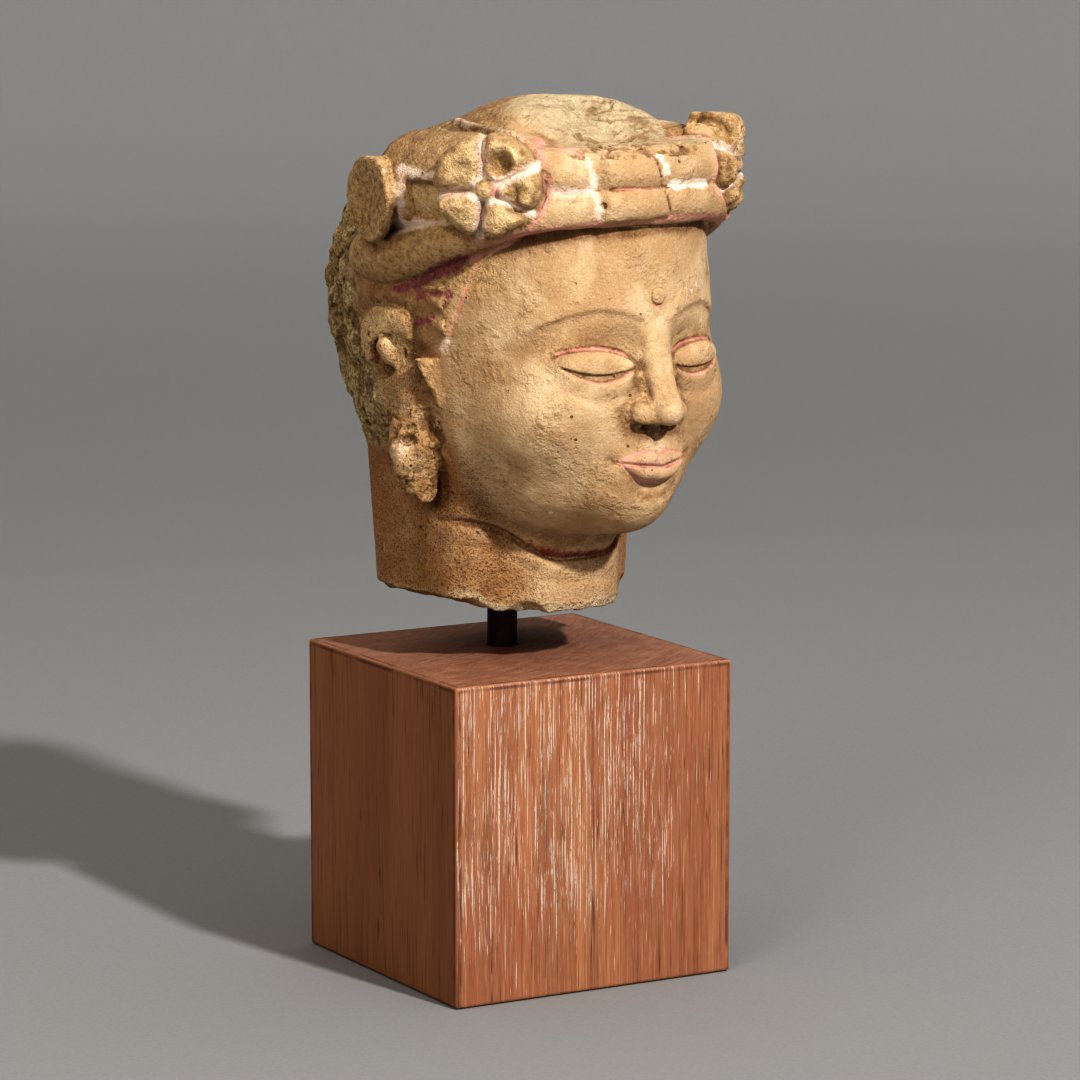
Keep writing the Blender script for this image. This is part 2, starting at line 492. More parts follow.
def solve_surface(h, fine=True):
    """Vertices and quads of the head's surface on a grid of h mm, pulled onto the field."""
    lo = np.array([-66.0, -68.0, 110.5])
    n = np.ceil(np.array([132.0, 146.0, 159.0]) / h / 4).astype(int) * 4 + 1
    axes = [(lo[i] + h * np.arange(n[i])).astype(np.float32) for i in range(3)]
    # coarse pass: which blocks of 4 cells hold the surface
    B = 4
    nb = (n - 1) // B
    centre = [axes[i][B // 2::B][:nb[i]] for i in range(3)]
    g = np.meshgrid(*centre, indexing="ij")
    dc = head_field(*[v.ravel() for v in g], fine=False).reshape(nb)
    reach = B * h * 0.87 * 1.25 + 2.2
    V = np.empty(n, np.float32)
    V[:] = np.nan
    fill = np.repeat(np.repeat(np.repeat(dc, B, 0), B, 1), B, 2)
    V[:-1, :-1, :-1] = fill
    V[-1] = V[-2]
    V[:, -1] = V[:, -2]
    V[:, :, -1] = V[:, :, -2]
    near = np.abs(dc) < reach
    mask = np.zeros(n, bool)
    full = np.repeat(np.repeat(np.repeat(near, B, 0), B, 1), B, 2)
    mask[:-1, :-1, :-1] = full
    mask[1:, :-1, :-1] |= full
    mask[:-1, 1:, :-1] |= full
    mask[:-1, :-1, 1:] |= full
    mask[1:, 1:, 1:] |= full
    i, j, k = np.nonzero(mask)
    out = np.empty(len(i), np.float32)
    step = 1500000
    for a in range(0, len(i), step):
        b = min(len(i), a + step)
        out[a:b] = head_field(axes[0][i[a:b]], axes[1][j[a:b]], axes[2][k[a:b]], fine=fine)
    V[i, j, k] = out
    S = V < 0
    c = np.zeros(n - 1, np.uint8)
    corners = [(a, b, d) for a in (0, 1) for b in (0, 1) for d in (0, 1)]
    for a, b, d in corners:
        c += S[a:n[0] - 1 + a, b:n[1] - 1 + b, d:n[2] - 1 + d]
    ci, cj, ck = np.nonzero((c > 0) & (c < 8))
    pos = np.zeros((len(ci), 3))
    cnt = np.zeros(len(ci))
    for p in corners:
        for ax in range(3):
            if p[ax]:
                continue
            q = list(p)
            q[ax] = 1
            va = V[ci + p[0], cj + p[1], ck + p[2]]
            vb = V[ci + q[0], cj + q[1], ck + q[2]]
            m = (va < 0) != (vb < 0)
            t = np.where(m, va / np.where(m, va - vb, 1), 0)
            for d in range(3):
                pos[:, d] += np.where(m, p[d] + (t if d == ax else 0), 0)
            cnt += m
    pos /= cnt[:, None]
    verts = lo + h * (pos + np.stack([ci, cj, ck], 1))
    vid = np.full(n - 1, -1, np.int32)
    vid[ci, cj, ck] = np.arange(len(ci))
    faces = []
    for ax in range(3):
        u, v = (ax + 1) % 3, (ax + 2) % 3
        sl0, sl1 = [slice(1, n[d] - 1) for d in range(3)], [slice(1, n[d] - 1) for d in range(3)]
        sl0[ax], sl1[ax] = slice(0, n[ax] - 1), slice(1, n[ax])
        s0, s1 = S[tuple(sl0)], S[tuple(sl1)]
        e = np.nonzero(s0 != s1)
        idx = [e[d] + (0 if d == ax else 1) for d in range(3)]
        inside = s0[e]

        def cell(du, dv):
            q = list(idx)
            q[u] = q[u] - du
            q[v] = q[v] - dv
            return vid[q[0], q[1], q[2]]
        quad = np.stack([cell(1, 1), cell(0, 1), cell(0, 0), cell(1, 0)], 1)
        quad[~inside] = quad[~inside][:, ::-1]
        faces.append(quad)
    faces = np.concatenate(faces)
    return pull(verts, fine, 2, 0.5 * h), faces


def gradient(p, fine=True, e=0.12):
    g = np.empty_like(p)
    for a in range(3):
        q = p.copy()
        q[:, a] += e
        r = p.copy()
        r[:, a] -= e
        g[:, a] = (head_field(q[:, 0], q[:, 1], q[:, 2], fine) - head_field(r[:, 0], r[:, 1], r[:, 2], fine)) / (2 * e)
    return g


def pull(p, fine, rounds, cap):
    """Moves points onto the zero of the field."""
    p = p.copy()
    for _ in range(rounds):
        d = head_field(p[:, 0], p[:, 1], p[:, 2], fine)
        g = gradient(p, fine)
        s = np.clip(d / np.maximum((g * g).sum(1), 0.3), -cap, cap)
        move = g * s[:, None]
        size = np.linalg.norm(move, axis=1)
        move *= np.minimum(1, cap / np.maximum(size, 1e-6))[:, None]
        p -= move
    return p
# <<< field


def object_from(name, verts, faces, smooth=True):
    me = bpy.data.meshes.new(name)
    me.vertices.add(len(verts))
    me.vertices.foreach_set("co", np.ascontiguousarray(verts, np.float32).ravel())
    n = faces.shape[1]
    me.loops.add(len(faces) * n)
    me.loops.foreach_set("vertex_index", np.ascontiguousarray(faces, np.int32).ravel())
    me.polygons.add(len(faces))
    me.polygons.foreach_set("loop_start", np.arange(0, len(faces) * n, n, dtype=np.int32))
    me.polygons.foreach_set("loop_total", np.full(len(faces), n, np.int32))
    me.update(calc_edges=True)
    me.validate()
    me.polygons.foreach_set("use_smooth", np.full(len(me.polygons), smooth))
    ob = bpy.data.objects.new(name, me)
    bpy.context.scene.collection.objects.link(ob)
    return ob


def coords(me):
    v = np.empty(len(me.vertices) * 3, np.float32)
    me.vertices.foreach_get("co", v)
    return v.reshape(-1, 3)


def applied(ob):
    """Replaces the object's mesh by its modified one."""
    dg = bpy.context.evaluated_depsgraph_get()
    me = bpy.data.meshes.new_from_object(ob.evaluated_get(dg), preserve_all_data_layers=True, depsgraph=dg)
    old = ob.data
    ob.modifiers.clear()
    ob.data = me
    bpy.data.meshes.remove(old)
    return ob


def store(me, name, values):
    a = me.attributes.new(name, "FLOAT", "POINT")
    a.data.foreach_set("value", np.ascontiguousarray(values, np.float32))


def to_world(p):
    c, s = math.cos(YAW), math.sin(YAW)
    X, Y = p[:, 0], -p[:, 1]
    return np.stack([HEAD_X + c * X - s * Y, HEAD_Y + s * X + c * Y, p[:, 2]], 1) / 1000.0


def to_head(w):
    c, s = math.cos(YAW), math.sin(YAW)
    X, Y = w[:, 0] * 1000.0 - HEAD_X, w[:, 1] * 1000.0 - HEAD_Y
    return np.stack([c * X + s * Y, -(-s * X + c * Y), w[:, 2] * 1000.0], 1)


# ---------------------------------------------------------------- node help
class Nodes:
    """Short names for building a material's node tree."""

    def __init__(self, name):
        self.mat = bpy.data.materials.new(name)
        self.mat.use_nodes = True
        self.t = self.mat.node_tree
        self.t.nodes.clear()
        self.out = self.t.nodes.new("ShaderNodeOutputMaterial")
        self.bsdf = self.t.nodes.new("ShaderNodeBsdfPrincipled")
        self.t.links.new(self.bsdf.outputs[0], self.out.inputs[0])
        tc = self.t.nodes.new("ShaderNodeTexCoord")
        self.obj = tc.outputs["Object"]

    def put(self, socket, value):
        if isinstance(value, bpy.types.NodeSocket):
            self.t.links.new(value, socket)
        elif value is not None:
            socket.default_value = value
        return self

    def attr(self, name):
        n = self.t.nodes.new("ShaderNodeAttribute")
        n.attribute_name = name
        return n.outputs["Fac"]

    def math(self, op, a, b=None, c=None, clamp=False):
        n = self.t.nodes.new("ShaderNodeMath")
        n.operation = op
        n.use_clamp = clamp
        self.put(n.inputs[0], a).put(n.inputs[1], b)
        if c is not None:
            self.put(n.inputs[2], c)
        return n.outputs[0]

    def step(self, lo, hi, value, a=0.0, b=1.0):
        n = self.t.nodes.new("ShaderNodeMapRange")
        n.interpolation_type = "SMOOTHSTEP"
        for s, v in zip(n.inputs[:5], (value, lo, hi, a, b)):
            self.put(s, v)
        return n.outputs[0]

    def mapping(self, scale=(1, 1, 1), rotation=(0, 0, 0), location=(0, 0, 0), vector=None):
        n = self.t.nodes.new("ShaderNodeMapping")
        self.put(n.inputs["Vector"], vector or self.obj)
        n.inputs["Scale"].default_value = scale
        n.inputs["Rotation"].default_value = rotation
        n.inputs["Location"].default_value = location
        return n.outputs[0]

    def noise(self, size, detail=3, rough=0.55, vector=None, distortion=0.0, lac=2.0):
        """Noise whose features are about size metres across."""
        n = self.t.nodes.new("ShaderNodeTexNoise")
        self.put(n.inputs["Vector"], vector or self.obj)
        n.inputs["Scale"].default_value = 1.0 / size
        n.inputs["Detail"].default_value = detail
        n.inputs["Roughness"].default_value = rough
        n.inputs["Lacunarity"].default_value = lac
        n.inputs["Distortion"].default_value = distortion
        return n.outputs["Fac"]

    def voronoi(self, size, feature="F1", vector=None, rand=1.0):
        n = self.t.nodes.new("ShaderNodeTexVoronoi")
        n.feature = feature
        self.put(n.inputs["Vector"], vector or self.obj)
        n.inputs["Scale"].default_value = 1.0 / size
        n.inputs["Randomness"].default_value = rand
        return n

    def mix(self, fac, a, b, mode="MIX"):
        n = self.t.nodes.new("ShaderNodeMix")
        n.data_type = "RGBA"
        n.blend_type = mode
        n.clamp_factor = True
        self.put(n.inputs[0], fac)
        for s, v in ((n.inputs[6], a), (n.inputs[7], b)):
            self.put(s, (*v, 1.0) if isinstance(v, tuple) and len(v) == 3 else v)
        return n.outputs[2]

    def bump(self, height, distance, strength=1.0, normal=None):
        n = self.t.nodes.new("ShaderNodeBump")
        n.inputs["Strength"].default_value = strength
        n.inputs["Distance"].default_value = distance
        self.put(n.inputs["Height"], height)
        if normal is not None:
            self.put(n.inputs["Normal"], normal)
        return n.outputs[0]


def srgb(r, g, b):
    return tuple(c / 12.92 if c <= 0.04045 else ((c + 0.055) / 1.055) ** 2.4 for c in (r / 255, g / 255, b / 255))


# ---------------------------------------------------------------- head
verts, quads = solve_surface(0.55)
head = object_from("head_carved", to_world(verts), quads)
tri_target = 194000
dec = head.modifiers.new("thin", "DECIMATE")
dec.ratio = min(1.0, tri_target / (2.0 * len(quads)))
dec.use_collapse_triangulate = True
applied(head)
p = pull(to_head(coords(head.data).astype(np.float64)), True, 1, 0.2)
head.data.vertices.foreach_set("co", to_world(p).astype(np.float32).ravel())
head.data.polygons.foreach_set("use_smooth", np.ones(len(head.data.polygons), bool))
head.data.update()
print("head triangles", len(head.data.polygons))


def segment_gap(p, pts):
    """Distance from each point to a chain of points."""
    best = np.full(len(p), 1e9)
    for a, b in zip(pts[:-1], pts[1:]):
        a, b = np.array(a, float), np.array(b, float)
        e = b - a
        t = np.clip(((p - a) @ e) / (e @ e), 0, 1)
        best = np.minimum(best, np.linalg.norm(p - a - t[:, None] * e, axis=1))
    return best


# painted lines as chains on the surface: half width in mm, then points (out to the side, forward, up)
BOTH = {
    "chalk": ((1.3, (54.4, 8.9, 246.4), (55.4, 9.7, 241.5), (54.7, 9.0, 235.5), (51.5, 4.8, 229.5), (49.8, 3.4, 226.5)),
              (1.3, (54.7, 7.9, 246.4), (54.0, 13.5, 245.5), (52.9, 19.6, 245.0), (50.0, 27.0, 245.0)),
              (1.7, (50.3, 5.4, 228.7), (50.7, 13.1, 230.4), (48.9, 20.0, 230.9), (47.0, 28.0, 230.6)),
              (0.55, (39.6, 38.9, 257.0), (37.8, 43.4, 255.8), (35.7, 47.4, 252.5))),
    "pink": ((0.6, (43.4, 31.2, 220.8), (45.6, 28.6, 211.7), (46.8, 26.0, 205.7), (47.3, 23.8, 201.1), (47.4, 22.2, 197.2)),
             (0.7, (48.7, 23.2, 231.3), (49.8, 30.5, 229.0), (47.9, 35.0, 226.8), (43.8, 39.4, 226.3), (40.7, 43.5, 227.6), (37.0, 48.5, 230.5))),
    "purple": ((1.2, (49.9, 8.8, 208.9), (49.6, 13.5, 209.4), (48.6, 19.0, 210.2), (47.2, 24.0, 210.2)),
               (1.3, (49.9, 10.0, 200.8), (49.6, 13.6, 201.3), (49.0, 17.4, 202.9)),
               (0.9, (53.6, -8.6, 197.6), (50.8, -8.2, 194.5), (50.4, -7.9, 191.0), (50.6, -7.7, 188.0))),
}
NEAR = {
    "chalk": ((1.35, (-23.4, 57.3, 249.0), (-22.6, 58.2, 244.3), (-21.9, 58.7, 238.5), (-21.3, 59.0, 233.5)),
              (1.5, (-37.0, 54.0, 241.6), (-31.3, 53.5, 240.9), (-27.7, 55.8, 240.9), (-23.3, 57.4, 241.4)),
              (1.3, (1.5, 63.4, 242.3), (7.7, 61.6, 241.5), (13.9, 60.7, 241.7), (20.0, 59.0, 241.3)),
              (1.4, (-1.0, 61.0, 253.0), (0.8, 62.0, 249.0), (1.6, 63.0, 245.0)),
              (1.2, (-47.4, 21.4, 196.6), (-47.4, 20.0, 193.5))),
    "pink": ((1.9, (-30.0, 50.2, 254.0), (-27.4, 53.0, 253.6), (-25.0, 55.0, 253.2)), (1.0, (-25.0, 55.0, 253.2), (-21.0, 56.5, 252.8)),
             (0.6, (-17.5, 61.4, 241.8), (-12.3, 62.3, 241.4), (-7.4, 63.3, 241.0), (-2.0, 63.8, 240.9)),
             (0.9, (-33.5, 53.5, 241.8), (-29.0, 54.5, 240.2), (-25.0, 56.5, 240.2))),
    "purple": ((0.9, (-22.0, -3.0, 260.6), (-28.0, 10.0, 260.2), (-31.5, 20.0, 259.6), (-35.0, 30.0, 259.4), (-37.0, 38.0, 259.0)),),
}
NECK_LINE = ((-34.0, 19.1, 143.8), (-31.1, 21.1, 140.4), (-26.7, 21.9, 136.8), (-18.6, 23.8, 132.6), (-13.7, 25.9, 130.8), (-8.7, 27.8, 130.3),
             (-0.2, 28.4, 129.4), (8.0, 27.2, 129.4), (16.0, 24.0, 130.0), (25.1, 18.0, 132.5))


def paint(p):
    """Distances to the painted lines in half widths, and where patina, breaks and rough clay lie."""
    x, f, z = p.T
    s, az = np.abs(x), azimuth(x, f)
    inside = plan(x, f, 0)
    q = {"pink": np.full(len(p), 9.0), "chalk": np.full(len(p), 9.0), "purple": np.full(len(p), 9.0)}
    m = {}
    g = gradient(p)
    g /= np.maximum(np.linalg.norm(g, axis=1), 1e-6)[:, None]
    # openness: how freely the surface sees out, near and further off
    near = sum((r - head_field(*(p + g * r).T)) / r for r in (0.8, 1.6)) / 2
    far = sum((r - head_field(*(p + g * r).T, fine=False)) / r for r in (3.0, 6.0)) / 2
    m["cavity"] = np.clip(near * 0.9 + far * 1.3, 0, 1)
    prom = sum((head_field(*(p - g * r).T) + r) / r for r in (0.8, 1.8)) / 2
    m["ridge"] = np.clip(prom * 1.6, 0, 1)

    def line(name, gap, half, window=1.0):
        q[name] = np.minimum(q[name], gap / half + (1 - window) * 6)
    ps = np.stack([s, f, z], 1)
    for name, chains in BOTH.items():
        for c in chains:
            line(name, segment_gap(ps, c[1:]), c[0])
    for name, chains in NEAR.items():
        for c in chains:
            line(name, segment_gap(p, c[1:]), c[0])
    line("chalk", segment_gap(p, [(-a, b, c) for a, b, c in RIDGE]), 1.1)
    line("pink", segment_gap(p, [(-a, b, c) for a, b, c in RIDGE[7:]]), 1.2)
    # the face's own lines
    e = s - 18.5
    front = sstep(22, 30, f) * (z < 216)
    w = sstep(-12.2, -9.5, e) * (1 - sstep(10.8, 13.2, e)) * front
    zc, zl, zm = lid_crease(e), lid_line(e), lid_low(e)
    line("pink", np.abs(z - zc - 0.1), 0.62, w)
    line("pink", np.abs(z - zm + 0.4), 0.42, w)
    zs, zu, zo = mouth_line(s), lip_top(s), lip_low(s)
    lips = (1 - sstep(12.2, 13.6, s)) * front
    line("pink", np.abs(z - zs), 0.8, lips)
    line("pink", np.abs(z - zu), 0.45, lips)
    line("pink", np.abs(z - zo), 0.55, lips)
    m["lips"] = lips * sstep(-0.4, 0.5, z - zo) * (1 - sstep(-0.5, 0.4, z - zu))
    line("pink", np.abs(np.hypot(x, z - 209.5) - 3.0), 0.5, front * (z < 209.8 + 1.2 * x))
    # under the band and under the roll
    line("pink", np.abs(z - band_low(az) - 0.1), 1.15, (f > 24) * (1 - sstep(44, 47, az)) * (inside < 1.2))
    half = 2.3 - 1.3 * sstep(62, 92, az)
    line("purple", np.abs(z - under_roll(az) + 0.9), half, sstep(50, 60, az) * (1 - sstep(90, 99, az)) * (np.abs(inside) < 13))
    line("pink", np.abs(z - under_roll(az) + 0.9), 1.1, sstep(36, 44, az) * (1 - sstep(56, 62, az)) * (np.abs(inside) < 13))
    patina = np.zeros_like(x)
    for side in (-1, 1):
        t, b, h = on_rosette(x, f, z, side)
        r = np.hypot(t, b)
        on = ((h > -2) & (r < 17.0)).astype(float)
        gap = groove_gap(t, b + 1.0)
        dark = gau(t - 9, 6) * gau(b + 7, 5)
        line("chalk", gap, 1.5 - 0.7 * dark, on * sstep(1.5, 3.5, r))
        line("chalk", np.abs(np.hypot(t, b + 1) - 3.9), 0.8, on)
        line("pink", np.hypot(t - 2.6, b + 1.5), 1.9, on)
        line("pink", np.abs(r - 17.4), 1.0, (t > -4) * (h > -14) * (h < 6) * 1.0)
        patina = np.maximum(patina, 0.8 * on * sstep(1.0, 3.4, h) * (1 - gau(gap, 1.3)))
        t, b, h = local(x, f, z, side, BOSS_X, BOSS_F, BOSS_Z, BOSS_AZ)
        r = np.hypot(t, b)
        line("chalk", np.abs(h - 1.0), 2.4, (r < 13) * sstep(-1, 3, -t))
        patina = np.maximum(patina, (r < 11.8) * sstep(7.5, 8.6, h) * 1.15)
    upper = sstep(209, 214, z) * sstep(40, 52, az) * (1 - sstep(112, 124, az)) * (inside > -13)
    patina = np.maximum(patina, 0.78 * upper)
    patina = np.maximum(patina, 0.8 * sstep(251, 257, z) * (1 - sstep(-6, 6, f + 0.9 * x)))
    m["patina"] = np.clip(patina, 0, 1.2)
    # fresh break of the crest, and of the neck's lower edge
    brk = sstep(3, 8, f) * (1 - sstep(-2, 2, np.abs(x - 1) - 31)) * sstep(252.0, 254.5, z) * (1 - sstep(0.3, 1.6, np.abs(z - crest_edge(x, f)) - 1.6)) * (inside < -1.0)
    t, b, h = on_rosette(x, f, z, 1)
    brk = brk * ((np.hypot(t, b) > 17.0) | (h < -7))
    foot = (1 - sstep(114.3, 115.8, z - 4.4 * (1 - sstep(-33, -24, x)))) * (0.25 + 0.75 * sstep(6, 16, f))
    m["break"] = np.clip(np.maximum(brk, foot), 0, 1) * (1 - 0.35 * brk * (1 - sstep(-22, -6, x)))
    m["rough"] = rough_mask(x, f, z)
    # skin that stayed dark and pitted: jaw side, front of the slab, the hair's edge
    jaw = gau(az - 66, 16) * gau(z - 146, 17) * (f > 4)
    m["mottle"] = np.clip(1.15 * jaw + 0.75 * sstep(70, 84, az) * (1 - sstep(0, 1, m["rough"])) * (z < 206) + 0.6 * m["patina"] + (0.45 + 0.35 * sstep(25, 40, az)) * (1 - sstep(124, 136, z)), 0, 1)
    m["stump"] = hang_mask(x, f, z)
    # rubbed clay: the outer ear, the framed panel, high spots of the rosettes
    t, b, h = on_rosette(x, f, z, -1)
    high = (np.hypot(t, b) < 16) * sstep(7.8, 9.6, h) * 0.6
    hood = gau(s - 52.5, 3.0) * gau(z - 197.5, 7.5) * gau(f + 3, 9.5) * sstep(182, 186, z)
    panel = 0.6 * sstep(52, 58, az) * (1 - sstep(76, 81, az)) * sstep(231, 233, z) * (1 - sstep(240, 243, z))
    # duller skin on the crown and on the lobes over the ornaments
    off = (np.hypot(t, b) > 17.0) | (h < -3)
    t, b, h = local(x, f, z, -1, BOSS_X, BOSS_F, BOSS_Z, BOSS_AZ)
    off &= (np.hypot(t, b) > 14.0) | (h < 4)
    lobes = sstep(239, 243, z) * sstep(50, 56, az) * (1 - sstep(104, 114, az)) * (inside > -13)
    crown = sstep(252, 256, z) * (1 - sstep(-4, 4, f + 0.9 * x))
    m["dull"] = np.clip(np.maximum(lobes, crown), 0, 1) * off
    m["pale"] = np.clip(np.maximum(np.maximum(high, hood), panel), 0, 1)
    m["white"] = sstep(0.3, 0.7, gau(f - 6.0, 3.6) * gau(z - 163.0, 3.8) + 0.25 * noise(x, f, z, 2.2, 5)) * (s > 46)
    # brown skin kept on the near side of the neck and behind the ear
    low = 1 - sstep(120, 150, z)
    m["brown"] = np.clip(sstep(58 - 38 * low, 78 - 16 * low, az) * (1 - sstep(160, 170, z)) + 0.45 * (z < 212) * sstep(34, 40, s - 0.4 * (f - 20)) * sstep(18, 22, 40 - f), 0, 1)
    q["fold"] = segment_gap(p, NECK_LINE) / (0.7 + 0.9 * sstep(-34, -20, x))
    for name, v in q.items():
        m["q_" + name] = np.clip(v, 0, 5)
    return m


masks = paint(p)
for name, values in masks.items():
    store(head.data, name, values)


def terracotta():
    N = Nodes("terracotta_painted")
    fine = N.noise(0.00050, 3, 0.6)
    grain = N.noise(0.0013, 4, 0.7)
    blot = N.noise(0.010, 5, 0.62, distortion=0.7)
    wide = N.noise(0.034, 3, 0.5)
    col = N.mix(N.step(0.35, 0.66, blot), srgb(184, 157, 125), srgb(203, 180, 150))
    col = N.mix(N.step(0.42, 0.66, wide, 0.0, 0.7), col, srgb(170, 139, 106))
    col = N.mix(N.math("MULTIPLY", N.attr("brown"), N.step(0.3, 0.6, N.noise(0.012, 4, 0.6), 0.45, 0.85)), col, srgb(166, 124, 84))
    cav, ridge = N.attr("cavity"), N.attr("ridge")
    # grime in hollows, and the brown skin left on raised ornament
    dirt = N.math("MULTIPLY", N.step(0.10, 0.62, cav), N.step(0.25, 0.65, N.noise(0.004, 4, 0.65), 0.5, 1.0))
    col = N.mix(N.math("MULTIPLY", dirt, 0.8), col, srgb(104, 70, 40))
    pat = N.attr("patina")
    patn = N.math("MULTIPLY", pat, N.step(0.3, 0.6, N.noise(0.0035, 5, 0.7, distortion=0.4), 0.45, 1.0))
    col = N.mix(N.math("MULTIPLY", patn, 0.62), col, N.mix(N.step(0.36, 0.56, N.noise(0.0020, 5, 0.75)), srgb(128, 92, 54), srgb(222, 190, 142)))
    col = N.mix(N.math("MULTIPLY", N.attr("dull"), N.step(0.34, 0.6, N.noise(0.0060, 5, 0.7), 0.85, 0.35)), col, srgb(140, 112, 82))
    # worn arrises show paler clay
    worn = N.math("MULTIPLY", N.step(0.15, 0.7, ridge), N.step(0.4, 0.6, N.noise(0.0022, 4, 0.7)))
    col = N.mix(N.math("MULTIPLY", worn, 0.65), col, srgb(224, 194, 150))
    col = N.mix(N.math("MULTIPLY", N.attr("pale"), N.step(0.40, 0.56, N.noise(0.0030, 5, 0.7), 0.40, 1.0)), col, srgb(240, 214, 174))
    # unfinished hair: pale, pitted, stained
    rough = N.attr("rough")
    stain = N.noise(0.006, 5, 0.7, distortion=0.9)
    hair = N.mix(N.step(0.38, 0.62, stain), srgb(182, 160, 122), srgb(220, 202, 164))
    hair = N.mix(N.step(0.47, 0.56, N.noise(0.0011, 4, 0.75), 0.0, 0.62), hair, srgb(94, 70, 44))
    hair = N.mix(N.step(0.56, 0.66, N.noise(0.0024, 4, 0.7), 0.0, 0.6), hair, srgb(204, 182, 144))
    hair = N.mix(N.step(0.3, 0.8, cav, 0.0, 0.5), hair, srgb(92, 68, 44))
    stump = N.attr("stump")
    col = N.mix(N.math("MULTIPLY", N.math("MULTIPLY", rough, N.math("SUBTRACT", 1.0, stump)), 0.9), col, hair)
    bare = N.mix(N.step(0.36, 0.62, stain), srgb(178, 144, 106), srgb(206, 178, 142))
    bare = N.mix(N.attr("white"), bare, srgb(232, 206, 178))
    bare = N.mix(N.step(0.52, 0.62, N.noise(0.0013, 4, 0.7), 0.0, 0.45), bare, srgb(110, 78, 44))
    bare = N.mix(N.step(0.16, 0.6, cav, 0.0, 0.7), bare, srgb(100, 70, 40))
    col = N.mix(N.math("MULTIPLY", stump, 0.9), col, bare)
    # fresh break: pale, slightly green
    brk = N.mix(N.step(0.35, 0.65, N.noise(0.006, 5, 0.65, distortion=0.7)), srgb(184, 166, 138), srgb(206, 190, 162))
    brk = N.mix(N.step(0.55, 0.7, N.noise(0.0012, 3, 0.7), 0.0, 0.45), brk, srgb(140, 106, 68))
    brk = N.mix(N.step(0.30, 0.80, cav, 0.0, 0.5), brk, srgb(128, 94, 58))
    col = N.mix(N.attr("break"), col, brk)
    # fine dark and light grains of the weathered skin
    mottle = N.math("ADD", N.attr("mottle"), N.step(0.50, 0.64, N.noise(0.013, 4, 0.6), 0.0, 0.35))
    mottle = N.math("MINIMUM", mottle, 1.0)
    dark = N.math("MULTIPLY", N.step(0.545, 0.63, fine), N.math("ADD", N.math("MULTIPLY", mottle, 0.60), 0.16))
    col = N.mix(dark, col, srgb(84, 56, 30))
    col = N.mix(N.math("MULTIPLY", N.step(0.56, 0.70, grain), N.math("ADD", N.math("MULTIPLY", mottle, 0.5), 0.14)), col, srgb(100, 68, 38))
    col = N.mix(N.step(0.28, 0.42, grain, 0.30, 0.0), col, srgb(232, 204, 162))
    col = N.mix(N.step(0.30, 0.40, fine, 0.30, 0.0), col, srgb(236, 210, 172))
    # pigments, their edges broken up by wear
    wear = N.noise(0.0012, 5, 0.75)
    wear2 = N.noise(0.0055, 3, 0.6)
    rub = N.math("ADD", N.math("MULTIPLY", N.math("SUBTRACT", wear, 0.5), 2.6), N.math("MULTIPLY", N.math("SUBTRACT", wear2, 0.5), 2.2))

    def coat(name, strength, shift=0.0):
        v = N.math("ADD", N.attr("q_" + name), N.math("ADD", rub, shift))
        return N.step(0.35, 1.35, v, strength, 0.0)
    chalk = coat("chalk", 0.86, -0.12)
    col = N.mix(chalk, col, N.mix(N.step(0.4, 0.62, wear2), srgb(234, 218, 204), srgb(222, 194, 180)))
    pink = coat("pink", 0.8)
    lips = N.math("MULTIPLY", N.attr("lips"), N.step(0.35, 0.7, wear, 0.38, 0.05))
    pink = N.math("MAXIMUM", pink, lips)
    col = N.mix(pink, col, N.mix(N.step(0.35, 0.65, wear2), srgb(208, 164, 148), srgb(194, 140, 128)))
    purple = coat("purple", 0.95, -0.15)
    col = N.mix(purple, col, N.mix(N.step(0.4, 0.6, wear), srgb(128, 76, 82), srgb(154, 100, 100)))
    fold = coat("fold", 0.85)
    col = N.mix(fold, col, srgb(132, 62, 50))
    # pits left by air bubbles
    pits = N.voronoi(0.0048)
    pit = N.step(0.075, 0.11, pits.outputs["Distance"], 1.0, 0.0)
    pit = N.math("MULTIPLY", pit, N.step(0.57, 0.63, N.noise(0.011, 2, 0.5)))
    col = N.mix(N.math("MULTIPLY", pit, 0.65), col, srgb(64, 44, 28))
    # a few specks of chalk on the skin
    bits = N.voronoi(0.0075)
    bit = N.step(0.06, 0.12, N.math("ADD", bits.outputs["Distance"], N.math("MULTIPLY", N.math("SUBTRACT", wear, 0.5), 0.3)), 1.0, 0.0)
    bit = N.math("MULTIPLY", bit, N.step(0.60, 0.64, N.noise(0.021, 2, 0.5, vector=N.mapping(location=(0.4, 0.1, 0.7)))))
    col = N.mix(N.math("MULTIPLY", bit, 0.7), col, srgb(226, 204, 184))
    N.put(N.bsdf.inputs["Base Color"], col)
    rgh = N.step(0.3, 0.7, grain, 0.74, 0.92)
    rgh = N.math("SUBTRACT", rgh, N.math("MULTIPLY", patn, 0.30))
    N.put(N.bsdf.inputs["Roughness"], rgh)
    N.bsdf.inputs["Specular IOR Level"].default_value = 0.35
    coarse = N.math("ADD", 0.50, N.math("MULTIPLY", N.math("MAXIMUM", N.math("MAXIMUM", pat, N.attr("break")), N.math("MAXIMUM", rough, mottle)), 1.0))
    h = N.math("ADD", N.math("MULTIPLY", fine, 0.65), N.math("MULTIPLY", grain, 1.1))
    h = N.math("ADD", h, N.math("MULTIPLY", N.noise(0.0032, 4, 0.6), 1.4))
    h = N.math("MULTIPLY", h, coarse)
    h = N.math("ADD", h, N.math("MULTIPLY", rough, N.math("MULTIPLY", N.noise(0.0022, 5, 0.75), 1.8)))
    h = N.math("SUBTRACT", h, N.math("MULTIPLY", pit, 2.2))
    h = N.math("ADD", h, N.math("MULTIPLY", N.math("ADD", pink, chalk), 0.15))
    N.put(N.bsdf.inputs["Normal"], N.bump(h, 0.00068, 1.0))
